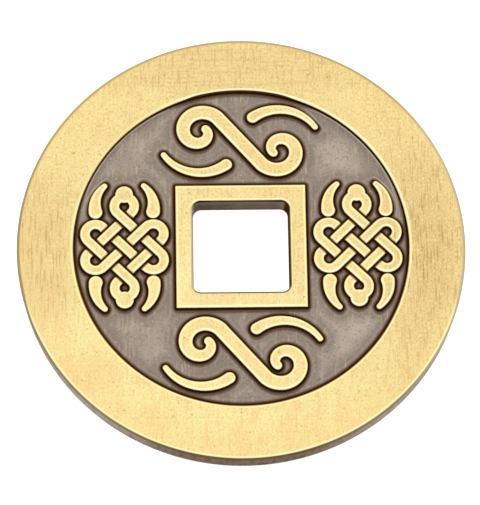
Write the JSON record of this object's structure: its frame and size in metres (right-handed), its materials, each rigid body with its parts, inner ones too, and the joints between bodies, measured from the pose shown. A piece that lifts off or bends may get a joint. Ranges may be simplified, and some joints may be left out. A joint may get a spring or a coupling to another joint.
{
  "type": "chinese cash coin",
  "caption": "Round brass cash coin with a broad brushed rim, dark sunken field, framed square hole and raised cloud scrolls and knots; plain back.",
  "frame": {"origin": "centre of the coin, on the plane of its reverse face, which it lies on", "axes": "+Z out of the obverse face, +Y towards the upper cloud scroll, +X towards the knot on the right of the obverse; the square hole's sides lie along X and Y"},
  "size_m": [0.045, 0.045, 0.0026],
  "materials": {
    "brushed_brass": "brushed pale gold faces with bright lips and fine pinholes",
    "dark_patina": "satin grey-brown antique patina, nearly black at the foot of every wall"
  },
  "bodies": {
    "root": {"outer_rim": "brushed_brass", "field_web": "dark_patina", "hole_frame": "brushed_brass", "top_cloud_scroll": "brushed_brass", "top_cloud_upper_leaf": "brushed_brass", "top_cloud_lower_leaf": "brushed_brass", "bottom_cloud_scroll": "brushed_brass", "bottom_cloud_upper_leaf": "brushed_brass", "bottom_cloud_lower_leaf": "brushed_brass", "left_knot": "brushed_brass", "left_knot_leaf_upper_right": "brushed_brass", "left_knot_leaf_upper_left": "brushed_brass", "left_knot_leaf_lower_left": "brushed_brass", "left_knot_leaf_lower_right": "brushed_brass", "right_knot": "brushed_brass", "right_knot_leaf_upper_right": "brushed_brass", "right_knot_leaf_upper_left": "brushed_brass", "right_knot_leaf_lower_left": "brushed_brass", "right_knot_leaf_lower_right": "brushed_brass"}
  },
  "joints": []
}
